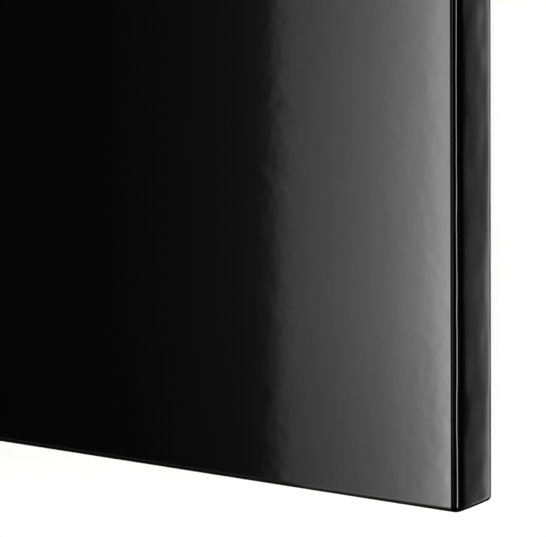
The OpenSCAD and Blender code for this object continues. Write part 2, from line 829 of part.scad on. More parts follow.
// Brush strip on the back of the front door, along its meeting edge
module meeting_seal() {
    back = back_of(-1);
    x1 = meeting_x(-1) - seal_inset;
    color("dimgray") {
        block([x1 - seal_w, back, door_bottom + seal_end],
              [x1, back + seal_base_t, door_top - seal_end]);
        block([x1 - (seal_w + seal_pile_w) / 2, back + seal_base_t - fit, door_bottom + seal_end],
              [x1 - (seal_w - seal_pile_w) / 2, back + door_gap - seal_gap, door_top - seal_end]);
    }
}

// ---- nodes ----

side_panel(-1);  // side_panel_left
side_panel(1);  // side_panel_right
centre_partition();
end_board(ceiling_z, 1);  // top_panel
end_board(bottom_z, -1);  // bottom_panel
front_plinth();
rear_plinth();
plinth_support();
back_panel(-1);  // back_panel_left
back_panel(1);  // back_panel_right
back_panel_nails();
shelf(-1, hat_hole);  // hat_shelf_left
shelf(1, hat_hole);  // hat_shelf_right
for (k = [1 : shelf_count])
    shelf(1, shelf_hole(k));
shelf_pins();
clothes_rail();
rail_sockets();
rail_socket_screws();
cam_locks();
cam_bolts();
partition_screws();
levelling_feet();
wall_brackets();
wall_bracket_screws();
top_track();
track_screws();
fascia();
fascia_screws();
end_cap(-1);  // end_cap_left
end_cap(1);  // end_cap_right
end_stop_blocks();
stop_buffers();
guide_bracket();
guide_pegs();
guide_screws();
for (s = [-1, 1]) {
    side = s > 0 ? "right" : "left";
    door_panel(s);
    door_stiffeners(s);
    carriage(s, true);
    carriage(s, false);
    axles(s);
    carriage_screws(s);
    for (k = [0 : 3])
        wheel(s, k);
}
meeting_seal();
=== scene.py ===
# %% [markdown]
# # A two-door sliding wardrobe
# The wardrobe is a white board carcass with two high-gloss black slab doors that hang in front of it from a
# double aluminium track. Most of it is plain board work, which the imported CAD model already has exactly
# right. What makes it look real is the rest: the wrapped and rounded doors, the finish of each material,
# and a studio that a black gloss surface can mirror. This lesson builds those around the CAD model, one
# cell at a time.

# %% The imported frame
import json
import math

import bpy
import numpy as np
from mathutils import Matrix, Vector


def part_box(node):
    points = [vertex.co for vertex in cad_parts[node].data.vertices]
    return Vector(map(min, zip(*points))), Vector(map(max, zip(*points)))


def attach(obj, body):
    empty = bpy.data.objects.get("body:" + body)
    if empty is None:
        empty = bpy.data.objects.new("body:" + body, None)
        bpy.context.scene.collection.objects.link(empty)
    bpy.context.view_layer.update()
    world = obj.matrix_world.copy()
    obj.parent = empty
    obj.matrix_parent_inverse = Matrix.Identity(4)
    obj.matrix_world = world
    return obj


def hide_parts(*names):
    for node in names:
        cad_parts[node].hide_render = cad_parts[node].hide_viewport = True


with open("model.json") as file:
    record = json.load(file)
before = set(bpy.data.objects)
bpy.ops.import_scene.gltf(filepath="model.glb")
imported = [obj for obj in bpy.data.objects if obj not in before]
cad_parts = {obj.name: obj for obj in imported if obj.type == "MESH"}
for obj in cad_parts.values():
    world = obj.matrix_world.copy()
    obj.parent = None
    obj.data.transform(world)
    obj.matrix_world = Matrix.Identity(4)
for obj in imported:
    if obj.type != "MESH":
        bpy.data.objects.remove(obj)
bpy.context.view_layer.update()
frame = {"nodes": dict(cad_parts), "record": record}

NODES = frame["nodes"]
MM = 0.001

# %% [markdown]
# ## Reading places from the CAD model
# Sizes and places are read from the CAD nodes, so a piece goes exactly where the CAD says. `span` gives a
# node's lowest and highest corner as two numpy arrays in metres, and `vertices` gives all its points where
# a size inside the node is wanted, such as the width of a groove.

# %% Places and main sizes


def span(name):
    """Lowest and highest corner of a CAD node, as arrays in metres."""
    low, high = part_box(name)
    return np.array(low), np.array(high)


def vertices(name):
    """All points of a CAD node's mesh, as an array of rows x, y, z in metres."""
    points = NODES[name].data.vertices
    flat = np.empty(len(points) * 3, np.float32)
    points.foreach_get("co", flat)
    return flat.reshape(-1, 3).astype(float)


DOOR_LOW, DOOR_HIGH = span("door_panel_right")
SIDE_LOW, SIDE_HIGH = span("side_panel_right")
CORNER = np.array([DOOR_HIGH[0], DOOR_LOW[1], DOOR_LOW[2]])
print("right door corner:", CORNER.round(4), " door:", ((DOOR_HIGH - DOOR_LOW) / MM).round(1), "mm")

# %% [markdown]
# ## The camera
# The main view is a detail of the right door's bottom corner, seen through a very long lens, so it is close
# to parallel. From the corner, the camera stands 31.7 degrees to the right of straight on and 14.9 degrees
# up. It is turned a little away from the corner to frame the door's face and the white below it. It could
# be aimed straight at the corner with a lens shift, but a turned camera keeps every other view centred.

# %% Camera at the detail's viewing angle
CORNER_AZIMUTH, CORNER_ELEVATION = 31.72, 14.88     # where the camera stands, seen from the corner
AXIS_AZIMUTH, AXIS_ELEVATION, ROLL = 32.492, 13.8849, -0.292     # its backward axis, and its roll
CAMERA_DISTANCE = 3.94
LENS_MM, SENSOR_MM = 937.3, 36.0


def direction(azimuth, elevation):
    """Unit vector towards azimuth and elevation in degrees; azimuth 0 is -Y, 90 is +X."""
    a, e = np.radians(azimuth), np.radians(elevation)
    return np.stack([np.sin(a) * np.cos(e), -np.cos(a) * np.cos(e), np.sin(e) * np.ones_like(a)], axis=-1)


def camera_axes():
    """The camera's right, up and backward axes: level axes turned about the backward one by the roll."""
    backward = direction(AXIS_AZIMUTH, AXIS_ELEVATION)
    level = direction(AXIS_AZIMUTH + 90, 0.0)
    upright = np.cross(backward, level)
    roll = math.radians(ROLL)
    return (math.cos(roll) * level + math.sin(roll) * upright,
            math.cos(roll) * upright - math.sin(roll) * level, backward)


camera_place = CORNER + direction(CORNER_AZIMUTH, CORNER_ELEVATION) * CAMERA_DISTANCE
camera_data = bpy.data.cameras.new("camera")
camera_data.sensor_width = SENSOR_MM
camera_data.lens = LENS_MM
camera = bpy.data.objects.new("camera", camera_data)
camera_columns = np.column_stack([*camera_axes(), camera_place])
camera.matrix_world = Matrix(np.vstack([camera_columns, [0, 0, 0, 1]]).tolist())
bpy.context.scene.collection.objects.link(camera)
bpy.context.scene.camera = camera
print("camera at", camera_place.round(3), "lens", LENS_MM, "mm")

# %% [markdown]
# ## Making surfaces with numpy
# A new piece could be pushed and pulled out of a cube, but a formula says what the shape is. So a piece
# here is a surface worked out as one array: a grid of points, rows by columns, where each row is a closed
# profile and the rows follow a path. `surface` turns such an array into a mesh, joins what lies in the same
# place, drops faces that shrank to nothing, and turns all faces outwards.

# %% From a grid of points to a mesh
import bmesh

SHARP_ANGLE = math.radians(32)
SAME_PLACE = 0.001 * MM


def grid_faces(rows, columns, closed):
    """Quads between neighbouring rows and columns; a closed profile's last column joins its first."""
    strips = columns if closed else columns - 1
    r, c = np.meshgrid(np.arange(rows - 1), np.arange(strips), indexing="ij")
    here, above = r * columns, (r + 1) * columns
    following = (c + 1) % columns
    return np.stack([here + c, here + following, above + following, above + c], axis=-1).reshape(-1, 4)


def surface(name, grid):
    """A mesh object from a grid of shape (rows, columns, 3), smooth except at sharp edges."""
    rows, columns = grid.shape[:2]
    mesh = bpy.data.meshes.new(name)
    mesh.from_pydata(grid.reshape(-1, 3).tolist(), [], grid_faces(rows, columns, True).tolist())
    shape = bmesh.new()
    shape.from_mesh(mesh)
    bmesh.ops.remove_doubles(shape, verts=shape.verts, dist=SAME_PLACE)
    bmesh.ops.dissolve_degenerate(shape, edges=shape.edges, dist=SAME_PLACE)
    bmesh.ops.recalc_face_normals(shape, faces=shape.faces)
    shape.to_mesh(mesh)
    shape.free()
    mesh.shade_smooth()
    mesh.set_sharp_from_angle(angle=SHARP_ANGLE)
    piece = bpy.data.objects.new(name, mesh)
    bpy.context.scene.collection.objects.link(piece)
    return piece


def arc(centre, radius, start, end, count):
    """Points on a circle: centre + radius * (sin a, -cos a), for a from start to end degrees."""
    a = np.radians(np.linspace(start, end, count))
    return np.column_stack([centre[0] + radius * np.sin(a), centre[1] - radius * np.cos(a)])


print("a closed grid of 3 rows by 4 points has", len(grid_faces(3, 4, True)), "faces")

# %% [markdown]
# ## Nodes for materials
# A material is a small graph. `add` adds one node of any kind with its settings and links and gives the
# socket to carry on from, and `linear` turns the sRGB hex value of a colour card into the linear numbers
# that the shader needs. Patterns read Object coordinates, which are metres here, so a pattern's scale is
# one over its real size. A noise lies mostly between 0.3 and 0.7, and `NOISE_SPAN` stretches that to the
# whole range of a finish.

# %% Node, colour and scale helpers
NOISE_SPAN = {"From Min": 0.3, "From Max": 0.7}


def linear(hex_code):
    """Linear RGBA of an sRGB hex colour such as F0EFEC."""
    c = np.array([int(hex_code[i:i + 2], 16) / 255 for i in (0, 2, 4)])
    c = np.where(c <= 0.04045, c / 12.92, ((c + 0.055) / 1.055) ** 2.4)
    return (*c, 1.0)


def per(size_mm):
    """Texture scale whose features are size_mm across."""
    return 1.0 / (size_mm * MM)


def feed(tree, node, inputs):
    """Set each input of a node, by name or number, to a value or link it to the socket that feeds it."""
    for name, value in inputs.items():
        if isinstance(value, bpy.types.NodeSocket):
            tree.links.new(value, node.inputs[name])
        else:
            node.inputs[name].default_value = value


def add(tree, kind, output, inputs=None, **settings):
    """Add one node with its settings and inputs, and give its output socket of that name or number."""
    made = tree.nodes.new(kind)
    for name, value in settings.items():
        setattr(made, name, value)
    feed(tree, made, inputs or {})
    return made.outputs[output]


def start_material(name, colour, roughness, **inputs):
    """A new material with one Principled shader: the material, its tree, its shader, Object coordinates."""
    material = bpy.data.materials.new(name)
    material.use_nodes = True
    material.diffuse_color = linear(colour)
    tree = material.node_tree
    shader = tree.nodes["Principled BSDF"]
    feed(tree, shader, {"Base Color": linear(colour), "Roughness": roughness, **inputs})
    return material, tree, shader, add(tree, "ShaderNodeTexCoord", "Object")


print("mid grey 808080 is", round(linear("808080")[0], 3), "linear; a 2 mm pattern has scale", per(2.0))

# %% [markdown]
# ## The studio: soft light, pale floor
# White board wants soft, even light, and black gloss wants something to mirror. The two wishes pull apart,
# so they are lit apart, as a product photographer does with flags and cards. The diffuse light comes from a
# pale sky, three large soft boxes, and two small ones that whiten the plinth and the floor round the door's
# bottom corner. None of them shows in a reflection: what the doors mirror is the dark tent of the next
# step.

# %% Floor, sky and soft boxes
SKY = 0.60
FLOOR_Z = 0.0
FLOOR_HALF = 60.0

bpy.context.scene.view_settings.view_transform = "Standard"
world = bpy.data.worlds.new("studio")
world.use_nodes = True
feed(world.node_tree, world.node_tree.nodes["Background"], {"Color": linear("FFFFFF"), "Strength": SKY})
bpy.context.scene.world = world

floor_mesh = bpy.data.meshes.new("floor")
floor_signs = ((-1, -1), (1, -1), (1, 1), (-1, 1))
floor_corners = [(x * FLOOR_HALF, y * FLOOR_HALF, FLOOR_Z) for x, y in floor_signs]
floor_mesh.from_pydata(floor_corners, [], [(0, 1, 2, 3)])
floor_mesh.materials.append(start_material("pale_studio_floor", "F8F8F8", 0.7)[0])
floor = bpy.data.objects.new("floor", floor_mesh)
floor.visible_glossy = False
bpy.context.scene.collection.objects.link(floor)


def soft_box(name, target, azimuth, elevation, distance, size, watts):
    """A square area light that faces a target; angles in degrees, distance and size in metres."""
    light = bpy.data.lights.new(name, "AREA")
    light.size, light.energy = size, watts
    lamp = bpy.data.objects.new(name, light)
    towards = direction(azimuth, elevation)
    lamp.location = np.array(target) + towards * distance
    lamp.rotation_euler = Vector(towards).to_track_quat("Z", "Y").to_euler()
    lamp.visible_camera = False
    lamp.visible_glossy = False
    bpy.context.scene.collection.objects.link(lamp)


MIDDLE = (0.0, 0.0, 0.9)                            # near the middle of the wardrobe
FOOT = (DOOR_HIGH[0] - 0.12, DOOR_HIGH[1], 0.04)    # under the right door, near its bottom corner
soft_box("key_light", MIDDLE, 46, 36, 4.2, 2.4, 86.0)
soft_box("fill_light", MIDDLE, -40, 24, 4.6, 2.4, 30.0)
soft_box("top_light", MIDDLE, 0, 80, 3.6, 2.0, 14.0)
soft_box("corner_light", FOOT, 42, 45, 0.9, 0.45, 3.3)
soft_box("plinth_light", FOOT, 12, 8, 1.1, 0.4, 6.5)
print("sky", SKY, " floor", FLOOR_HALF * 2, "m across  soft boxes", len(bpy.data.lights))

# %% [markdown]
# ## What the black gloss mirrors
# A gloss black door shows almost nothing of its own: what the eye sees on it is whatever stands in front of
# it, at one twenty-fifth of its brightness. Real cards on stands could be built, but painting their light
# on a tent is simpler to steer. The tent is a sphere round the door's corner that only reflections see, and
# its brightness is a point attribute, a function of azimuth and elevation. It is near black, with a tall
# card at the front left that climbs to a bright right edge, a grey that brightens towards the back for the
# door's side edge, and thin strips for the lines along the roundings.

# %% Brightness of the tall card and of the grey behind
TENT_RADIUS = 6.0
TENT_BLACK = 0.006
# Azimuth in degrees and radiance of the tall card: black, a soft edge, then a climbing grey
CARD_STOPS = np.array([(-36.0, 0.004), (-34.9, 0.006), (-34.2, 0.018), (-33.8, 0.036), (-33.5, 0.066),
                       (-33.15, 0.09), (-33.06, 0.105), (-33.0, 0.26), (-32.96, 0.56), (-32.92, 0.86),
                       (-32.86, 1.08), (-32.65, 1.42), (-32.45, 1.85), (-32.25, 2.4), (-32.1, 3.2),
                       (-31.97, 4.0), (-31.85, 6.4), (-31.79, 7.4), (-31.5, 7.4), (-31.3, 0.01)])
# Elevation in degrees and the share of the card's radiance there
CARD_FALL = np.array([(-90.0, 0.5), (-60.0, 1.0), (-30.0, 1.50), (-18.0, 1.30), (-15.6, 0.75),
                      (-14.6, 0.76), (-13.5, 1.0), (-12.3, 1.0), (-11.0, 0.90), (90.0, 0.9)])
# Elevation in degrees and the most that the card gives at its foot
CARD_LIMIT = np.array([(-90.0, 0.05), (-59.5, 0.10), (-52.0, 0.16), (-45.0, 0.30), (-38.0, 0.50),
                       (-31.0, 0.80), (-26.0, 1.2), (-20.0, 4.0), (-16.5, 9.0)])
# Radiance by azimuth, and its share by elevation, for the grey behind
BACK_STOPS = np.array([(110.0, 0.005), (130.0, 0.01), (138.0, 0.02), (141.0, 0.06), (142.5, 0.14),
                       (144.4, 0.25), (148.4, 0.37), (150.7, 0.57), (152.4, 0.95), (153.5, 1.4),
                       (154.5, 1.75), (156.5, 1.9), (158.5, 0.9), (162.0, 0.6), (180.0, 0.5)])
BACK_FALL = np.array([(-60.0, 0.01), (-36.0, 0.06), (-30.0, 0.18), (-25.0, 0.40), (-20.0, 2.2),
                      (-16.0, 1.25), (-14.2, 1.0), (90.0, 1.0)])


def soft_step(x, edge, width):
    """0 below edge and 1 above it, with a smooth ramp of the given width."""
    t = np.clip((x - edge) / width + 0.5, 0, 1)
    return t * t * (3 - 2 * t)


def strip(x, centre, half, soft):
    """1 within half of centre, falling off over soft."""
    return soft_step(x, centre - half, soft) * (1 - soft_step(x, centre + half, soft))


def graded(x, stops):
    """Radiance between stops, even in its logarithm, and 0 outside them."""
    level = np.exp(np.interp(x, stops[:, 0], np.log(stops[:, 1])))
    return level * (x > stops[0, 0]) * (x < stops[-1, 0])


def share(x, table):
    """The value between the entries of a table, straight from one to the next."""
    return np.interp(x, table[:, 0], table[:, 1])


print("tall card: radiance", CARD_STOPS[0, 1], "to", CARD_STOPS[:, 1].max())

# %% [markdown]
# The rounding under the door turns the mirrored direction down and to the left as it curves away. The
# card's foot leans along that same way, so that the rounding shows the card dimmer and dimmer, and not its
# edge.

# %% How the card's foot leans
TILTS = np.linspace(1, 36, 13)      # how far the rounding has turned down, in degrees


def mirrored(tilts):
    """Azimuth and elevation that the front mirrors once tipped down by tilts.

    With view v and normal n the mirrored direction is 2 (n . v) n - v.
    """
    view = direction(AXIS_AZIMUTH, AXIS_ELEVATION)
    normals = direction(0.0, -tilts)
    seen = 2 * (normals @ view)[:, None] * normals - view
    return np.degrees(np.arctan2(seen[:, 0], -seen[:, 1])), np.degrees(np.arcsin(seen[:, 2]))


LEAN_AZ, LEAN_EL = mirrored(TILTS)


def lean(el):
    """Azimuth by which the tall card is shifted at elevation el: 0 above its foot, negative to the left."""
    return np.interp(-el, -LEAN_EL, LEAN_AZ - LEAN_AZ[0])


print("at elevation -50 the card's foot is shifted by", round(float(lean(-50.0)), 1), "degrees")

# %% [markdown]
# The other cards are plain: each is a strip in azimuth times a strip in elevation. The lines are thinner
# and change along their length, and those of the door's upright edges stay in the band of elevations that
# the edges mirror.

# %% Cards and lines
ALL_ROUND = (0, 400, 1)             # a strip so wide that it takes in every azimuth
# Azimuth and elevation as (centre, half, soft edge) in degrees, and radiance
CARDS = [
    ((-62, 14, 6), (60, 90, 6), 1.2),               # a window at the left
    ((42, 13, 10), (30, 16, 14), 3.0),              # the key light's card
    (ALL_ROUND, (94, 90, 10), 0.5),                 # the ceiling, with a brighter patch at each side
    ((35, 25, 12), (94, 90, 10), 1.6),
    ((-45, 20, 12), (94, 90, 10), 1.2),
    (ALL_ROUND, (-152, 90, 14), 0.04),              # a dim floor
    ((-92, 22, 10), (-57, 12, 8), 0.05),            # with a faint glow at the left
]
EDGE_BAND = (-13.0, 5.0, 2.0)       # band of elevations that the door's upright edges mirror
EDGE_MIDDLE = -13.1                 # where the bright line has its middle brightness


def tent_radiance(card_az, el):
    """Radiance at elevation el and at azimuth card_az + lean(el), the sum of all cards and lines.

    A line is a strip (azimuth, centre, half, soft edge) times its radiance times a strip in elevation.
    """
    az = np.mod(card_az + lean(el) + 180, 360) - 180
    along = el - EDGE_MIDDLE
    edge = strip(el, *EDGE_BAND)
    tall = np.minimum(graded(card_az, CARD_STOPS) * share(el, CARD_FALL), share(el, CARD_LIMIT))
    behind = graded(az, BACK_STOPS) * share(el, BACK_FALL)
    bright_line = strip(az, 41.8 - 1.3 * along, 2.6, 2.0) * (14.5 - 2.2 * along) * edge
    faint_line = strip(az, -6.0, 3.6, 3.0) * (0.25 + soft_step(el, -14.3, 1.0)) * edge
    foot_glow = 0.22 * strip(el, -24.5, 5.0, 4.0) + 0.03 * soft_step(-el, 36.0, 8.0)
    foot_line = foot_glow * strip(card_az, -36.0, 12.0, 6.0)
    end_line = strip(az, -31.6, 0.2, 0.06) * np.clip(-1.6 * (el + 13.0), -0.8, 2.6)
    end_line = end_line * soft_step(el, -17.0, 2.0)
    cards = sum(strip(az, *across) * strip(el, *upright) * level for across, upright, level in CARDS)
    return TENT_BLACK + tall + behind + bright_line + faint_line + foot_line + end_line + cards


print("straight in front of the doors the tent's radiance is", tent_radiance(0.0, 0.0).round(4))

# %% The tent's points


def stations(*stretches):
    """Sorted angles of several stretches, each given as start, end and step in degrees."""
    return np.unique(np.concatenate([np.arange(*stretch) for stretch in stretches]).round(3))


tent_az = stations((-180, 180.1, 2.5), (-36, -33.2, 0.1), (-33.2, -31.2, 0.02), (40, 72, 1.0),
                   (-8, 0, 0.5), (138, 166, 1.0))
tent_el = stations((-90, 90.1, 4.0), (-60, -28, 1.0), (-28, -8, 0.5))
az_grid, el_grid = np.meshgrid(tent_az, tent_el)
tent_points = CORNER + TENT_RADIUS * direction(az_grid + lean(el_grid), el_grid)
tent_mesh = bpy.data.meshes.new("reflection_tent")
tent_mesh.from_pydata(tent_points.reshape(-1, 3).tolist(), [],
                      grid_faces(len(tent_el), len(tent_az), False).tolist())
radiance_values = tent_mesh.attributes.new("radiance", "FLOAT", "POINT").data
radiance_values.foreach_set("value", tent_radiance(az_grid, el_grid).ravel().astype(np.float32))

print("tent:", len(tent_az), "by", len(tent_el), "points")

# %% The tent's cloth, seen by reflections only
tent_material = bpy.data.materials.new("tent_cloth_and_cards")
tent_material.use_nodes = True
tent_tree = tent_material.node_tree
tent_tree.nodes.remove(tent_tree.nodes["Principled BSDF"])
painted = add(tent_tree, "ShaderNodeAttribute", "Fac", attribute_name="radiance")
glow = add(tent_tree, "ShaderNodeEmission", "Emission", {"Strength": painted})
feed(tent_tree, tent_tree.nodes["Material Output"], {"Surface": glow})
tent_material.cycles.emission_sampling = "NONE"
tent_mesh.materials.append(tent_material)

tent = bpy.data.objects.new("reflection_tent", tent_mesh)
bpy.context.scene.collection.objects.link(tent)
for kind in ("camera", "diffuse", "transmission", "volume_scatter", "shadow"):
    setattr(tent, f"visible_{kind}", False)
print("staged:", tent.name, "with", tent_material.name)

# %% [markdown]
# ## Gloss foil on MDF
# The doors are MDF wrapped in a high-gloss black film. The film is a dielectric with an index of about
# 1.49, so it mirrors 4 percent straight on and more at a glance, and its own colour is a true neutral
# black. The faces are pressed flat and mirror cleanly, with a faint orange peel. The edges are wrapped by a
# roller, so there the film waves a little every centimetre or so. A clear coat over a painted base would
# look alike, but one polished dielectric is what the film is. The waves follow a point attribute, `wrap`,
# that is 1 on the edges and 0 on the faces.

# %% The door film
PEEL_MM, WAVE_MM = 6.0, 12.0
WAVE_RELIEF = 0.32 * MM
WAVE_STRETCH = 1.5          # the waves are this much longer up the door than across
PEEL_SHARE = 0.006          # relief of the faces' orange peel beside that of the wrapped edges


def gloss_film():
    """Black high-gloss film: near-black base, clean mirror faces, waved where it wraps the edges."""
    material, tree, shader, place = start_material("gloss_black_film", "020202", 0.02, IOR=1.49)
    wrap = add(tree, "ShaderNodeAttribute", "Fac", attribute_name="wrap")
    peel = add(tree, "ShaderNodeTexNoise", "Fac", {"Vector": place, "Scale": per(PEEL_MM), "Detail": 1.0})
    drawn_out = add(tree, "ShaderNodeMapping", "Vector", {"Vector": place, "Scale": (1, 1, 1 / WAVE_STRETCH)})
    waves = add(tree, "ShaderNodeTexNoise", "Fac",
                {"Vector": drawn_out, "Scale": per(WAVE_MM), "Detail": 1.0})
    wrapped = add(tree, "ShaderNodeMath", 0, {0: waves, 1: wrap}, operation="MULTIPLY")
    height = add(tree, "ShaderNodeMath", 0, {0: peel, 1: PEEL_SHARE, 2: wrapped}, operation="MULTIPLY_ADD")
    relief = add(tree, "ShaderNodeBump", "Normal", {"Height": height, "Distance": WAVE_RELIEF})
    feed(tree, shader, {"Normal": relief})
    return material


GLOSS_FILM = gloss_film()
print("film:", GLOSS_FILM.name, " waves every", WAVE_MM, "mm")

# %% [markdown]
# ## The door slabs
# A wrapped slab has no straight edges: the upright front edges and the ends are rounded, and the narrow
# sides are slightly crowned because the film pulls tight over them. A box with a bevel would give the
# roundings but not the crown, and its bevel would be the same all round. So the slab is one profile carried
# up the door. The profile is the slab's plan: a front line, a front rounding, a crowned side, a back
# rounding and the back line with two notches for the stiffeners.

# %% The slab's plan
FRONT_R, BACK_R = 2.6 * MM, 1.2 * MM
CROWN = 3.0                 # degrees that the side leans either way of square
ARC_STEPS, CROWN_STEPS = 16, 9
NEAR = 0.02 * MM            # a second line this close to a rounding keeps the flat beside it flat
CLOSE_FIT = 0.2 * MM        # room round a stiffener in its notch


def half_plan(low, high, side, notch_x, notch_half):
    """Half of the slab's plan, from the middle of the front round one side to the middle of the back.

    Angle a runs from 0 on the front through 90 on the side to 180 on the back; each stretch is an arc
    p = c + r (sin a, -cos a), and the crown is an arc whose radius fills what the roundings leave of the
    thickness. The side is 1 for the right and -1 for the left. Gives x, y and a third row that is 1 at the
    points in the floor of the notch.
    """
    crown = math.radians(CROWN)
    thickness = high[1] - low[1]
    crown_r = (thickness - (FRONT_R + BACK_R) * (1 - math.sin(crown))) / (2 * math.sin(crown))
    front_x = -crown_r + (crown_r - FRONT_R) * math.cos(crown)
    back_x = -crown_r + (crown_r - BACK_R) * math.cos(crown)
    crown_y = FRONT_R + (crown_r - FRONT_R) * math.sin(crown)
    outline = np.concatenate([
        [[front_x - NEAR * 4, 0.0], [front_x - NEAR, 0.0]],
        arc((front_x, FRONT_R), FRONT_R, 0, 90 - CROWN, ARC_STEPS),
        arc((-crown_r, crown_y), crown_r, 90 - CROWN, 90 + CROWN, CROWN_STEPS)[1:-1],
        arc((back_x, thickness - BACK_R), BACK_R, 90 + CROWN, 180, ARC_STEPS // 2),
        [[back_x - NEAR, thickness], [back_x - NEAR * 4, thickness]],
    ])
    x = (high[0] if side > 0 else low[0]) + side * outline[:, 0]
    notch = notch_x + side * notch_half * np.array([1, 1, -1, -1])
    return np.array([np.concatenate([x, notch]),
                     np.concatenate([low[1] + outline[:, 1], np.full(4, high[1])]),
                     np.concatenate([np.zeros(len(x)), [0, 1, 1, 0]])])


def outward(plan, low, high):
    """Outward direction at each point of the plan: square to the line through its two neighbours.

    On the front and back faces it is -Y and +Y exactly.
    """
    tangent = np.roll(plan, -1, axis=0) - np.roll(plan, 1, axis=0)
    normal = np.stack([tangent[:, 1], -tangent[:, 0]], axis=1)
    normal /= np.linalg.norm(normal, axis=1, keepdims=True)
    normal[np.abs(plan[:, 1] - low[1]) < SAME_PLACE] = (0, -1)
    normal[np.abs(plan[:, 1] - high[1]) < SAME_PLACE] = (0, 1)
    return normal


print("roundings:", FRONT_R / MM, "mm in front and", BACK_R / MM, "mm behind, crown", CROWN, "degrees")

# %% [markdown]
# The rows start in the roof of the guide groove, come down its walls, cross the bottom, turn up round the
# bottom edge, climb past the notches to the top edge and close over the top. The groove and the notches are
# cut in the CAD slab, so their sizes are read from its points and from the stiffeners that lie in them.

# %% The slab's rows
END_R_FRONT, END_R_BACK = 1.7 * MM, 1.6 * MM
TURN = np.radians(np.linspace(90, 0, 10))     # from the end's face, 90, round to the sides, 0
ROUNDED = 5 * MM            # the CAD slab's roundings end below this height


def groove_box(name):
    """Half length, half width and roof height of the guide groove: the lowest points above the roundings."""
    points = vertices(name)
    above = points[points[:, 2] > points[:, 2].min() + ROUNDED]
    roof = above[above[:, 2] < above[:, 2].min() + SAME_PLACE]
    half_length, half_width = np.ptp(roof, axis=0)[:2] / 2
    return half_length, half_width, roof[0, 2]


def notches(name):
    """Middle of each stiffener across the door, then its notch's half width, its depth and its two ends."""
    low, high = span(name)
    across = np.unique(vertices(name)[:, 0].round(6))
    first = across[across < (low[0] + high[0]) / 2]
    half = (first[-1] - first[0]) / 2
    return ((low[0] + half, high[0] - half), half + CLOSE_FIT, high[1] - low[1] + CLOSE_FIT,
            (low[2] - CLOSE_FIT, high[2] + CLOSE_FIT))


def slab_rows(low, high, groove, notch):
    """All rows of the slab, from the groove's roof to the middle of the top.

    On the rounding of an end, turned by t, a row lies in by r (1 - cos t) and r (1 - sin t) from the end.
    """
    half_length, half_width, roof = groove
    centres, notch_half, depth, (notch_low, notch_high) = notch
    x, y, deep = np.concatenate([half_plan(low, high, 1, centres[1], notch_half),
                                 half_plan(low, high, -1, centres[0], notch_half)[:, ::-1]], axis=1)
    plan = np.stack([x, y], axis=1)
    normal = outward(plan, low, high)
    end_r = END_R_FRONT + (END_R_BACK - END_R_FRONT) * (y - low[1]) / (high[1] - low[1])
    middle = (low + high) / 2

    def ring(inward, z, cut=0.0):
        """One row: the plan moved inward point by point, at height z, with the notches cut or not."""
        moved = plan - normal * np.reshape(inward, (-1, 1))
        moved[:, 1] -= deep * depth * cut
        return np.column_stack([moved, np.broadcast_to(z, len(moved))])

    def squeezed(half_x, half_y, z):
        """One row with every point drawn in to a rectangle about the slab's middle."""
        return np.column_stack([np.clip(x, middle[0] - half_x, middle[0] + half_x),
                                np.clip(y, middle[1] - half_y, middle[1] + half_y), np.full(len(x), z)])

    bottom, top = low[2], high[2]
    return np.array(
        [squeezed(half_length, 0.0, roof), squeezed(half_length, half_width, roof),
         squeezed(half_length, half_width, bottom)]
        + [ring(end_r * (1 - np.cos(t)), bottom + end_r * (1 - np.sin(t))) for t in TURN]
        + [ring(0.0, bottom + END_R_FRONT + NEAR), ring(0.0, bottom + END_R_FRONT + 4 * NEAR),
           ring(0.0, notch_low), ring(0.0, notch_low, 1.0), ring(0.0, notch_high, 1.0), ring(0.0, notch_high),
           ring(0.0, top - END_R_FRONT - 4 * NEAR), ring(0.0, top - END_R_FRONT - NEAR)]
        + [ring(end_r * (1 - np.cos(t)), top - end_r * (1 - np.sin(t))) for t in TURN[::-1]]
        + [squeezed(half_length, 0.0, top)])


def slab(name, body, bars):
    """The wrapped slab of one door, in place of the CAD slab, with notches for its stiffener bars."""
    low, high = span(name)
    door = surface(name + "_wrapped", slab_rows(low, high, groove_box(name), notches(bars)))
    mesh = door.data
    normals = np.zeros(len(mesh.vertices) * 3, np.float32)
    mesh.vertices.foreach_get("normal", normals)
    wrap = (1 - normals.reshape(-1, 3)[:, 1] ** 2).clip(0, 1).astype(np.float32)
    mesh.attributes.new("wrap", "FLOAT", "POINT").data.foreach_set("value", wrap)
    mesh.materials.append(GLOSS_FILM)
    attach(door, body)
    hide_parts(name)
    print(name, len(mesh.polygons), "faces,", ((high - low) / MM).round(1), "mm")


for hand in ("left", "right"):
    slab(f"door_panel_{hand}", f"{hand}_door", f"door_stiffeners_{hand}")

# %% [markdown]
# ## White board
# The carcass is chipboard faced with white melamine. The face is a dead-white print paper in hard resin,
# pressed against a plate with a fine pearl grain, so it is satin and even. The rear edges of the side
# panels and the bottom edges of the side panels and plinths are left raw, as they always are where nobody
# looks. Two materials on two sets of faces would do that too, but one material that knows where the raw
# edges lie works on the CAD boards as they are.

# %% White melamine on chipboard
SKIN = 0.2 * MM             # depth of a board's outer skin that counts as its rear or bottom edge
CHIP_MM, CHIP_STRETCH = 2.2, 2.5    # width of the raw chips, and how much longer they lie up the board
CLOUD_MM, PEARL_MM = 60.0, 0.6      # slow drift of the paper's white, and the press plate's pearl grain
PEARL_RELIEF = 0.01 * MM
CHIP_RELIEF = 12.0          # relief of the raw chips beside that of the pearl grain


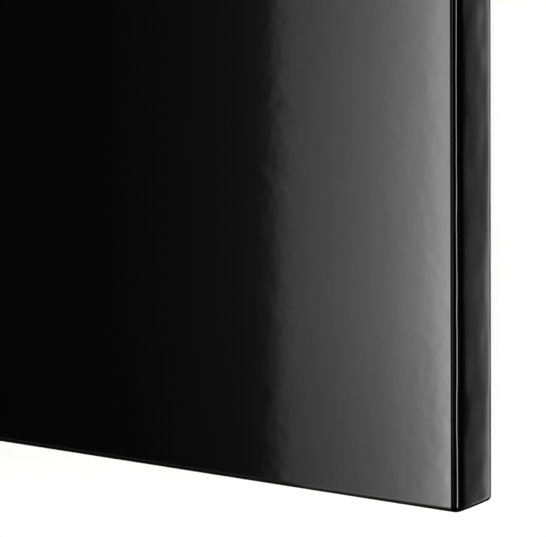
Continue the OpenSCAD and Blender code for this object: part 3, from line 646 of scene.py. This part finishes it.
def white_melamine():
    """Satin white facing, with raw chipboard at the side panels' rear edges and at the lowest edges."""
    material, tree, shader, place = start_material("white_melamine_board", "F1F1EF", 0.42, IOR=1.5)
    y = add(tree, "ShaderNodeSeparateXYZ", "Y", {"Vector": place})
    z = add(tree, "ShaderNodeSeparateXYZ", "Z", {"Vector": place})
    rear = add(tree, "ShaderNodeMath", 0, {0: y, 1: SIDE_HIGH[1] - SKIN}, operation="GREATER_THAN")
    foot = add(tree, "ShaderNodeMath", 0, {0: z, 1: SIDE_LOW[2] + SKIN}, operation="LESS_THAN")
    raw = add(tree, "ShaderNodeMath", 0, {0: rear, 1: foot}, operation="MAXIMUM")
    lying = add(tree, "ShaderNodeMapping", "Vector", {"Vector": place, "Scale": (1, 1, 1 / CHIP_STRETCH)})
    chips = add(tree, "ShaderNodeTexNoise", "Fac", {"Vector": lying, "Scale": per(CHIP_MM), "Detail": 4.0})
    chip_tone = add(tree, "ShaderNodeMapRange", "Result", {"Value": chips, **NOISE_SPAN})
    flakes = add(tree, "ShaderNodeMix", 2, {0: chip_tone, 6: linear("9C7C52"), 7: linear("D9BE92")},
                 data_type="RGBA")
    cloud = add(tree, "ShaderNodeTexNoise", "Fac", {"Vector": place, "Scale": per(CLOUD_MM)})
    cloud_tone = add(tree, "ShaderNodeMapRange", "Result", {"Value": cloud, **NOISE_SPAN})
    paper = add(tree, "ShaderNodeMix", 2, {0: cloud_tone, 6: linear("F0F0EE"), 7: linear("F3F3F1")},
                data_type="RGBA")
    pearl = add(tree, "ShaderNodeTexNoise", "Fac", {"Vector": place, "Scale": per(PEARL_MM)})
    raw_chips = add(tree, "ShaderNodeMath", 0, {0: chips, 1: raw}, operation="MULTIPLY")
    grain = add(tree, "ShaderNodeMath", 0, {0: raw_chips, 1: CHIP_RELIEF, 2: pearl}, operation="MULTIPLY_ADD")
    feed(tree, shader, {
        "Base Color": add(tree, "ShaderNodeMix", 2, {0: raw, 6: paper, 7: flakes}, data_type="RGBA"),
        "Roughness": add(tree, "ShaderNodeMapRange", "Result",
                         {"Value": raw, "To Min": 0.42, "To Max": 0.85}),
        "Normal": add(tree, "ShaderNodeBump", "Normal", {"Height": grain, "Distance": PEARL_RELIEF})})
    return material


WHITE_BOARD = white_melamine()
print("board:", WHITE_BOARD.name, " raw behind y", round(SIDE_HIGH[1] - SKIN, 4))

# %% [markdown]
# The back panels are hardboard: wood fibre pressed hot into a dense brown sheet. The face towards the
# inside is lacquered white, and the outside shows the fibre, mottled and dull. As with the boards, one
# material that knows which side it is on saves cutting the panel's mesh in two.

# %% Lacquered hardboard
FIBRE_MM, MOTTLE_MM = 1.6, 9.0      # bundles of fibre, and the darker clouds where they felt together
FIBRE_RELIEF = 0.06 * MM


def white_hardboard():
    """White lacquer on the inside, brown pressed fibre on the outside."""
    rear_y = span("back_panel_left")[1][1]
    material, tree, shader, place = start_material("white_lacquered_hardboard", "EDEDEA", 0.5)
    y = add(tree, "ShaderNodeSeparateXYZ", "Y", {"Vector": place})
    outside = add(tree, "ShaderNodeMath", 0, {0: y, 1: rear_y - SKIN}, operation="GREATER_THAN")
    fibre = add(tree, "ShaderNodeTexNoise", "Fac", {"Vector": place, "Scale": per(FIBRE_MM), "Detail": 4.0})
    mottle = add(tree, "ShaderNodeTexNoise", "Fac", {"Vector": place, "Scale": per(MOTTLE_MM)})
    fibre_tone = add(tree, "ShaderNodeMapRange", "Result", {"Value": fibre, **NOISE_SPAN})
    mottle_tone = add(tree, "ShaderNodeMapRange", "Result", {"Value": mottle, **NOISE_SPAN, "To Max": 0.35})
    pressed = add(tree, "ShaderNodeMix", 2, {0: fibre_tone, 6: linear("8A6A48"), 7: linear("A9875F")},
                  data_type="RGBA")
    brown = add(tree, "ShaderNodeMix", 2, {0: mottle_tone, 6: pressed, 7: linear("77593B")},
                data_type="RGBA")
    feed(tree, shader, {
        "Base Color": add(tree, "ShaderNodeMix", 2, {0: outside, 6: linear("EDEDEA"), 7: brown},
                          data_type="RGBA"),
        "Roughness": add(tree, "ShaderNodeMapRange", "Result",
                         {"Value": outside, "To Min": 0.45, "To Max": 0.8}),
        "Normal": add(tree, "ShaderNodeBump", "Normal", {"Height": fibre, "Distance": FIBRE_RELIEF})})
    return material


WHITE_HARDBOARD = white_hardboard()
print("back:", WHITE_HARDBOARD.name)

# %% [markdown]
# ## Metals
# The track and the stiffeners are aluminium extrusions with a natural anodised skin: satin, with faint die
# lines along their length. Plates, brackets and screws are bright zinc plated steel, a little blue and
# cloudy. The clothes rail and its sockets are chrome plated, close to a mirror. One colour and one
# roughness for each would do from afar, but no rolled or plated metal is that even, so all three are one
# recipe: a metal whose colour and polish drift between two states.

# %% Anodised aluminium, zinc and chrome


def metal(name, colour, other, roughness, patch_mm, drawn=1, relief_mm=0.004, spread=0.08):
    """A metal that drifts between two states over patches of patch_mm, drawn out along X by a factor."""
    material, tree, shader, place = start_material(name, colour, roughness, Metallic=1.0)
    drawn_out = add(tree, "ShaderNodeMapping", "Vector", {"Vector": place, "Scale": (1 / drawn, 1, 1)})
    patches = add(tree, "ShaderNodeTexNoise", "Fac",
                  {"Vector": drawn_out, "Scale": per(patch_mm), "Detail": 3.0})
    tone = add(tree, "ShaderNodeMapRange", "Result", {"Value": patches, **NOISE_SPAN})
    polish = {"Value": patches, **NOISE_SPAN, "To Min": roughness - spread, "To Max": roughness + spread}
    feed(tree, shader, {
        "Base Color": add(tree, "ShaderNodeMix", 2, {0: tone, 6: linear(colour), 7: linear(other)},
                          data_type="RGBA"),
        "Roughness": add(tree, "ShaderNodeMapRange", "Result", polish),
        "Normal": add(tree, "ShaderNodeBump", "Normal", {"Height": patches, "Distance": relief_mm * MM})})
    return material


# Satin grey with die lines too fine to show, so drawn 0.5 mm wide and 200 times as long
ANODISED = metal("anodised_aluminium", "C6C7C9", "D2D3D5", 0.36, 0.5, drawn=200)
# Bright and slightly blue, with the faint clouds that the passivating bath leaves
ZINC = metal("zinc_plated_steel", "B9BDC0", "CFD0CC", 0.30, 6.0)
# Close to a mirror, and as even as polishing leaves it
CHROME = metal("chrome_plate", "D6D8DB", "DDDFE1", 0.09, 30.0, relief_mm=0.002, spread=0.02)
print("metals:", ANODISED.name, ZINC.name, CHROME.name)

# %% [markdown]
# ## Nylon, plastics and rubber
# Wheels and guide pegs are moulded nylon, end caps are grey ABS, the feet and end stops are black
# polypropylene, and the buffers are rubber. Each could have a graph of its own, but they differ only in
# colour, shine and the grain that the mould gives them, so one recipe with those as its measures serves all
# four.

# %% Moulded materials


def moulded(name, colour, other, roughness, grain_mm, relief_mm, ior=1.5):
    """A moulded plastic or rubber with a fine grain."""
    material, tree, shader, place = start_material(name, colour, roughness, IOR=ior)
    grain = add(tree, "ShaderNodeTexNoise", "Fac", {"Vector": place, "Scale": per(grain_mm), "Detail": 3.0})
    tone = add(tree, "ShaderNodeMapRange", "Result", {"Value": grain, **NOISE_SPAN})
    feed(tree, shader, {
        "Base Color": add(tree, "ShaderNodeMix", 2, {0: tone, 6: linear(colour), 7: linear(other)},
                          data_type="RGBA"),
        "Normal": add(tree, "ShaderNodeBump", "Normal", {"Height": grain, "Distance": relief_mm * MM})})
    return material


# Off-white and soft-looking, because a little light goes into its skin
NYLON = moulded("white_nylon", "E6E2D6", "EBE8DE", 0.38, 1.2, 0.01, ior=1.53)
NYLON.node_tree.nodes["Principled BSDF"].inputs["Subsurface Weight"].default_value = 0.15
# An even mid grey with a satin shine
GREY_ABS = moulded("grey_abs", "9B9C9D", "A1A2A3", 0.45, 0.5, 0.015)
# Near black with a wide soft highlight
BLACK_PLASTIC = moulded("black_polypropylene", "1C1C1D", "212122", 0.5, 0.6, 0.02)
# Dull black that hardly shines at all
RUBBER = moulded("black_rubber", "171717", "1D1D1D", 0.75, 0.4, 0.02)
print("plastics:", NYLON.name, GREY_ABS.name, BLACK_PLASTIC.name, RUBBER.name)

# %% [markdown]
# ## The brush seal
# Where the doors overlap, a strip of brush seal on the front door's back closes the gap against dust. The
# real one is polypropylene yarn stood on end in a stiff woven backing. It could be a particle system of
# hairs, but each hair is finer than any view shows, so it is one solid pile whose tufts lean, spread and
# shorten a little along its length. The fibres are in the material: streaks that run out of the backing,
# with a soft sheen on their ends.

# %% Polypropylene pile
YARN_MM, YARN_STRETCH = 0.5, 8      # coarser than the real fibres, so that the streaks show
YARN_RELIEF = 0.15 * MM


def polypropylene_pile():
    """Dark grey upright yarn: streaks along Y, the way the fibres stand, and a sheen on their ends."""
    material, tree, shader, place = start_material("polypropylene_pile", "3A3A3B", 0.9)
    shader.inputs["Sheen Weight"].default_value = 0.4
    standing = add(tree, "ShaderNodeMapping", "Vector", {"Vector": place, "Scale": (1, 1 / YARN_STRETCH, 1)})
    streaks = add(tree, "ShaderNodeTexNoise", "Fac",
                  {"Vector": standing, "Scale": per(YARN_MM), "Detail": 3.0})
    tone = add(tree, "ShaderNodeMapRange", "Result", {"Value": streaks, **NOISE_SPAN})
    feed(tree, shader, {
        "Base Color": add(tree, "ShaderNodeMix", 2, {0: tone, 6: linear("2C2C2D"), 7: linear("515152")},
                          data_type="RGBA"),
        "Normal": add(tree, "ShaderNodeBump", "Normal", {"Height": streaks, "Distance": YARN_RELIEF})})
    return material


PILE = polypropylene_pile()
print("pile:", PILE.name)

# %% The pile strip
TUFT_PITCH = 6.0 * MM       # coarser than the real 1 mm, so that the tufts show
TUFT_SWAY, TUFT_SHORT, TUFT_SPREAD = 0.35 * MM, 0.5 * MM, 0.12
SWAY_PITCHES = 2.7          # tuft pitches between one sway and the next
BACKING_T, PILE_W = 1.5 * MM, 4.0 * MM
PILE_STEPS = 19


def pile_strip():
    """A T-shaped strip: its profile carried up the door, with the pile changed by its height share h.

    The pile's outline is a superellipse, x = w cos(a)^0.5 and y = height sin(a)^0.35. At height z each point
    moves sideways by sway * h * sin(2 pi z / 2.7 pitch), spreads by spread * h * cos(2 pi z / pitch) and
    drops by short * h * (1 - cos(2 pi z / pitch)) / 2.
    """
    low, high = span("meeting_seal")
    half, pile_h = (high[0] - low[0]) / 2, high[1] - low[1] - BACKING_T
    a = np.radians(np.linspace(0, 180, PILE_STEPS))
    pile_x = PILE_W / 2 * np.sign(np.cos(a)) * np.abs(np.cos(a)) ** 0.5
    pile_y = BACKING_T + pile_h * np.sin(a).clip(0, 1) ** 0.35
    x = np.concatenate([[-half, half, half], pile_x, [-half]])
    y = np.concatenate([[0, 0, BACKING_T], pile_y, [BACKING_T]])
    h = ((y - BACKING_T) / pile_h).clip(0, 1)
    z = np.arange(low[2], high[2], TUFT_PITCH / 4)
    turn = 2 * np.pi * z[:, None] / TUFT_PITCH
    middle_x = (low[0] + high[0]) / 2
    spread = x * (1 + TUFT_SPREAD * h * np.cos(turn)) + TUFT_SWAY * h * np.sin(turn / SWAY_PITCHES)
    rows = np.stack([middle_x + spread, low[1] + y - TUFT_SHORT * h * (1 - np.cos(turn)) / 2,
                     np.broadcast_to(z[:, None], (len(z), len(x)))], axis=-1)
    ends = np.tile([middle_x, low[1] + BACKING_T / 2, 0.0], (2, len(x), 1))
    ends[:, :, 2] = z[[0, -1], None]
    strip_piece = surface("brush_seal", np.concatenate([ends[:1], rows, ends[1:]]))
    strip_piece.data.materials.append(PILE)
    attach(strip_piece, "left_door")
    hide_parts("meeting_seal")
    print("brush seal:", len(z), "rows,", len(strip_piece.data.polygons), "faces")


pile_strip()

# %% [markdown]
# ## Finishing the CAD boards and fittings
# No real edge is perfectly sharp. A melamine board's lip is broken by half a millimetre and a steel plate's
# edge by a tenth or two. The edges could be rounded in the CAD, but they are looks and not function. The
# CAD meshes are loose triangles, so a Weld joins them, a planar Decimate makes whole faces of them again,
# and a Bevel rounds the edges and hardens the normals so that the faces stay flat.

# %% Edge breaks and materials for the CAD nodes
# For each of the record's slots, the material and the width of the edge break in millimetres
FINISH = {
    "white_board": (WHITE_BOARD, 0.5),
    "white_hardboard": (WHITE_HARDBOARD, 0.2),
    "gloss_black_door": (GLOSS_FILM, 0.0),
    "anodised_aluminium": (ANODISED, 0.2),
    "zinc_steel": (ZINC, 0.2),
    "chrome_plated": (CHROME, 0.2),
    "white_nylon": (NYLON, 0.3),
    "grey_plastic": (GREY_ABS, 0.4),
    "black_plastic": (BLACK_PLASTIC, 0.4),
    "black_rubber": (RUBBER, 0.4),
    "brush_pile": (PILE, 0.0),
}
WELD_REACH = 0.005 * MM
FLAT_WITHIN, BREAK_ABOVE = math.radians(0.5), math.radians(40)
slot_of = {part["node"]: part["material_slot"] for part in frame["record"]["subparts"]}


def break_edges(piece, width):
    """Weld, flatten and bevel a CAD node with live modifiers."""
    weld = piece.modifiers.new("weld", "WELD")
    weld.merge_threshold = WELD_REACH
    flat = piece.modifiers.new("flat_faces", "DECIMATE")
    flat.decimate_type = "DISSOLVE"
    flat.angle_limit = FLAT_WITHIN
    bevel = piece.modifiers.new("edge_break", "BEVEL")
    bevel.width = width
    bevel.segments = 2
    bevel.limit_method = "ANGLE"
    bevel.angle_limit = BREAK_ABOVE
    bevel.harden_normals = True


for name, piece in NODES.items():
    material, width_mm = FINISH[slot_of[name]]
    piece.data.materials.clear()
    piece.data.materials.append(material)
    if width_mm and not piece.hide_render:
        break_edges(piece, width_mm * MM)
# As a black flag would, this keeps the white side out of the black edge of the door beside it
NODES["side_panel_right"].visible_glossy = False
print("finished", len(NODES), "CAD nodes")
